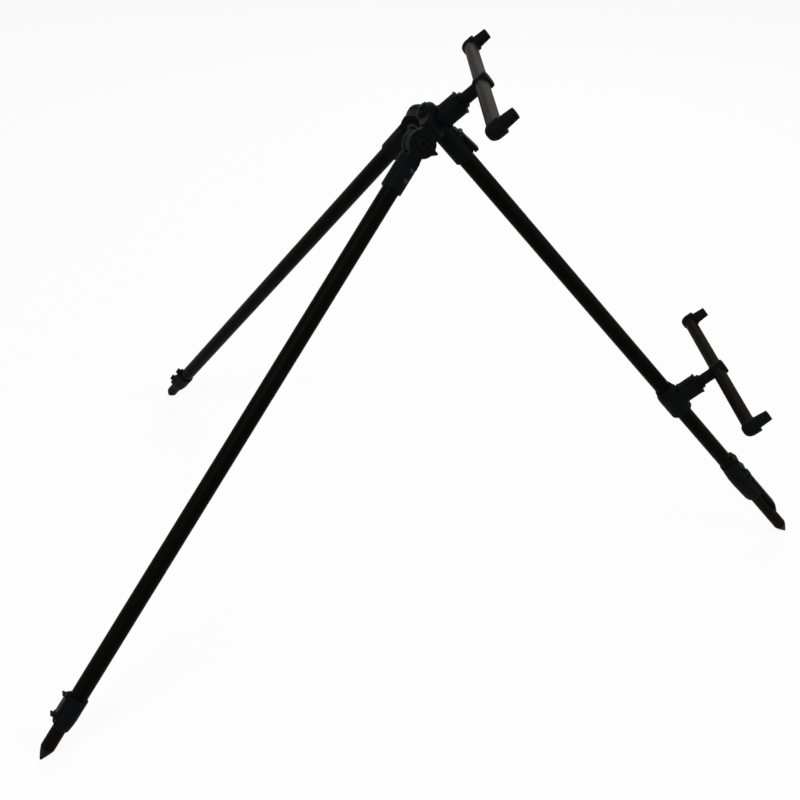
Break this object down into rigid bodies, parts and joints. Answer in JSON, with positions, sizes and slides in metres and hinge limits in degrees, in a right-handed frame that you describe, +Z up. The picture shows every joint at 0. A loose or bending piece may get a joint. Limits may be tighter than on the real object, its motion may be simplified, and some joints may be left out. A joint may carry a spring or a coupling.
{
  "type": "fishing rod pod",
  "caption": "Tripod rod pod with folding rear legs, telescopic legs with cam locks and spikes, and crossbars with threaded rod-rest posts on lockable stems.",
  "frame": {"origin": "centre of the footprint's bounding box, on the ground that the three spikes stand on", "axes": "+X points from the rear legs towards the front leg's foot, +Y to the far side seen from the picture's camera, +Z up"},
  "size_m": [0.9566, 0.7584, 0.6644],
  "materials": {
    "black_plastic": "fine moulded grain, near black with a cool tint",
    "lever_plastic": "smooth moulded black, satin",
    "tube_metal": "black anodised tube, satin",
    "inner_tube_metal": "black anodised tube, satin, lightly worn",
    "spike_metal": "turned and black anodised",
    "upper_bar_metal": "warm dark grey anodised tube, satin",
    "lower_bar_metal": "dark grey anodised tube, satin",
    "black_steel": "black oxide steel",
    "brass": "turned brass"
  },
  "bodies": {
    "head": {"head_body": "black_plastic", "head_lever_pin": "black_steel", "front_outer_tube": "tube_metal", "front_lock_housing": "black_plastic", "front_lock_pin": "black_steel", "upper_ferrule": "black_plastic"},
    "head_lever": {"head_lever": "lever_plastic"},
    "front_lock_lever": {"front_lock_lever": "lever_plastic"},
    "front_foot": {"front_inner_tube": "inner_tube_metal", "front_guide_bush": "black_plastic", "front_spike": "spike_metal"},
    "near_leg": {"near_socket": "black_plastic", "near_hinge_bolt": "black_steel", "near_hinge_nut": "black_steel", "near_socket_screw_1": "black_steel", "near_socket_screw_2": "black_steel", "near_outer_tube": "tube_metal", "near_lock_housing": "black_plastic", "near_lock_pin": "black_steel"},
    "near_foot": {"near_inner_tube": "inner_tube_metal", "near_guide_bush": "black_plastic", "near_spike": "spike_metal"},
    "near_lock_lever": {"near_lock_lever": "lever_plastic"},
    "far_leg": {"far_socket": "black_plastic", "far_hinge_bolt": "black_steel", "far_hinge_nut": "black_steel", "far_socket_screw_1": "black_steel", "far_socket_screw_2": "black_steel", "far_outer_tube": "tube_metal", "far_lock_housing": "black_plastic", "far_lock_pin": "black_steel"},
    "far_foot": {"far_inner_tube": "inner_tube_metal", "far_guide_bush": "black_plastic", "far_spike": "spike_metal"},
    "far_lock_lever": {"far_lock_lever": "lever_plastic"},
    "upper_lock_nut": {"upper_lock_nut": "black_plastic"},
    "upper_collet": {"upper_collet": "lever_plastic"},
    "upper_crossbar": {"upper_stem": "black_plastic", "upper_bar": "upper_bar_metal", "upper_near_cap": "black_plastic", "upper_far_cap": "black_plastic", "upper_near_insert": "brass", "upper_far_insert": "brass"},
    "slide_clamp": {"slide_clamp": "black_plastic", "lower_ferrule": "black_plastic"},
    "lower_lock_nut": {"lower_lock_nut": "black_plastic"},
    "lower_collet": {"lower_collet": "lever_plastic"},
    "lower_crossbar": {"lower_stem": "black_plastic", "lower_bar": "lower_bar_metal", "lower_near_cap": "black_plastic", "lower_far_cap": "black_plastic", "lower_near_insert": "brass", "lower_far_insert": "brass"}
  },
  "joints": [
    {"name": "head_lever_turn", "type": "hinge", "parent": "head", "child": "head_lever", "pos_m": [-0.00766, 0, 0.57991], "axis": [0, -1, 0], "range_deg": [0, 100]},
    {"name": "front_lock_lever_turn", "type": "hinge", "parent": "head", "child": "front_lock_lever", "pos_m": [0.40699, 0, 0.09964], "axis": [0, -1, 0], "range_deg": [0, 100]},
    {"name": "front_foot_slide", "type": "slide", "parent": "head", "child": "front_foot", "axis": [0.6557, 0, -0.7551], "range_m": [0, 0.48]},
    {"name": "near_leg_fold", "type": "hinge", "parent": "head", "child": "near_leg", "pos_m": [-0.05504, -0.04, 0.58048], "axis": [0.3286, -0.9003, 0.2854], "range_deg": [0, 78.3]},
    {"name": "near_foot_slide", "type": "slide", "parent": "near_leg", "child": "near_foot", "axis": [-0.5327, -0.4262, -0.7312], "range_m": [0, 0.55]},
    {"name": "near_lock_lever_turn", "type": "hinge", "parent": "near_leg", "child": "near_lock_lever", "pos_m": [-0.45878, -0.35701, 0.04527], "axis": [0.3286, -0.9003, 0.2854], "range_deg": [0, 100]},
    {"name": "far_leg_fold", "type": "hinge", "parent": "head", "child": "far_leg", "pos_m": [-0.05504, 0.04, 0.58048], "axis": [-0.3286, -0.9003, -0.2854], "range_deg": [0, 78.3]},
    {"name": "far_foot_slide", "type": "slide", "parent": "far_leg", "child": "far_foot", "axis": [-0.5327, 0.4262, -0.7312], "range_m": [0, 0.55]},
    {"name": "far_lock_lever_turn", "type": "hinge", "parent": "far_leg", "child": "far_lock_lever", "pos_m": [-0.45878, 0.35701, 0.04527], "axis": [-0.3286, -0.9003, -0.2854], "range_deg": [0, 100]},
    {"name": "clamp_slide", "type": "slide", "parent": "head", "child": "slide_clamp", "axis": [0.6557, 0, -0.7551], "range_m": [-0.19, 0.1]},
    {"name": "upper_lock_nut_turn", "type": "hinge", "parent": "head", "child": "upper_lock_nut", "pos_m": [-0.01629, -0.00074, 0.60752], "axis": [0.7547, -0.0297, 0.6554], "continuous": true},
    {"name": "upper_crossbar_turn", "type": "hinge", "parent": "head", "child": "upper_collet", "pos_m": [-0.01629, -0.00074, 0.60752], "axis": [0.7547, -0.0297, 0.6554], "range_deg": [-90, 90]},
    {"name": "upper_stem_slide", "type": "slide", "parent": "upper_collet", "child": "upper_crossbar", "axis": [0.7547, -0.0297, 0.6554], "range_m": [0, 0.012]},
    {"name": "lower_lock_nut_turn", "type": "hinge", "parent": "slide_clamp", "child": "lower_lock_nut", "pos_m": [0.30172, 0.00017, 0.24132], "axis": [0.755, 0.007, 0.6556], "continuous": true},
    {"name": "lower_crossbar_turn", "type": "hinge", "parent": "slide_clamp", "child": "lower_collet", "pos_m": [0.30172, 0.00017, 0.24132], "axis": [0.755, 0.007, 0.6556], "range_deg": [-75, 75]},
    {"name": "lower_stem_slide", "type": "slide", "parent": "lower_collet", "child": "lower_crossbar", "axis": [0.755, 0.007, 0.6556], "range_m": [0, 0.012]}
  ]
}
